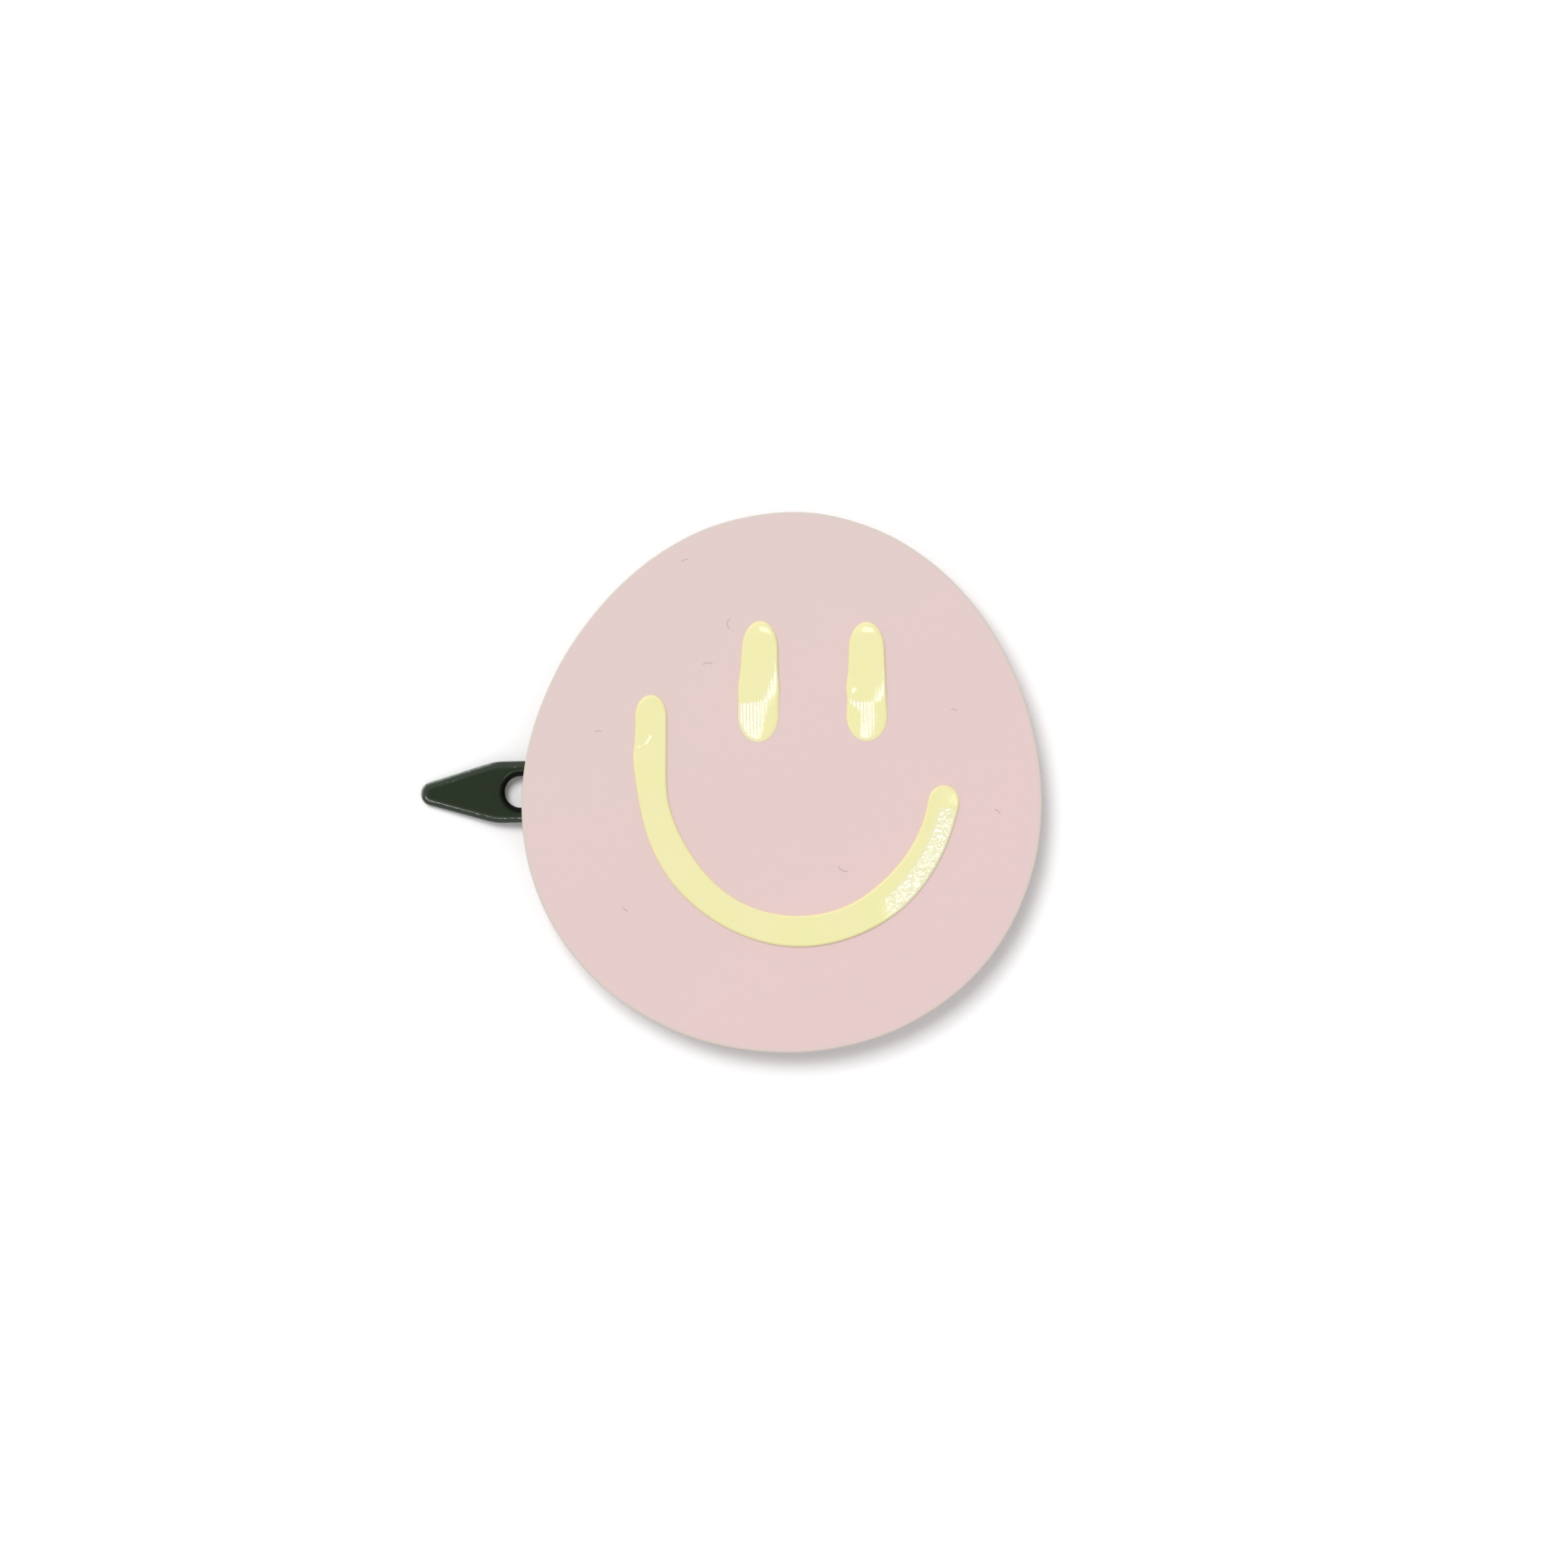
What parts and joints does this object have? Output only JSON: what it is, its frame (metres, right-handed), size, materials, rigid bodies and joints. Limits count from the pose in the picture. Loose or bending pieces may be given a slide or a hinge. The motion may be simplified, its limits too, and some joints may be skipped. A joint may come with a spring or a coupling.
{
  "type": "hair clip",
  "caption": "Flat snap hair clip in dark green with a hand-made pink disc glued on it, which carries a raised glossy yellow smiling face.",
  "frame": {"origin": "centre of the whole clip's outline, on the surface that its nose and heel stand on", "axes": "+X along the clip from its nose to its heel, +Y up the face, +Z out of the face"},
  "size_m": [0.06, 0.052, 0.0049],
  "materials": {
    "clip_paint": "satin dark green paint on steel",
    "disc_clay": "smooth satin pale pink",
    "face_paint": "thick wet-looking pale yellow paint",
    "glue": "cloudy set glue"
  },
  "bodies": {
    "clip": {"clip_frame": "clip_paint", "face_disc": "disc_clay", "left_eye": "face_paint", "right_eye": "face_paint", "smile": "face_paint", "glue_upper_arm": "glue", "glue_lower_arm": "glue", "glue_heel": "glue"},
    "tongue": {"clip_tongue": "clip_paint"}
  },
  "joints": [
    {"name": "tongue_snap", "type": "hinge", "parent": "clip", "child": "tongue", "pos_m": [0.0079, 0, 0.00049], "axis": [0, -1, 0], "range_deg": [0, 22], "stiffness_Nm_per_rad": 0.15}
  ]
}
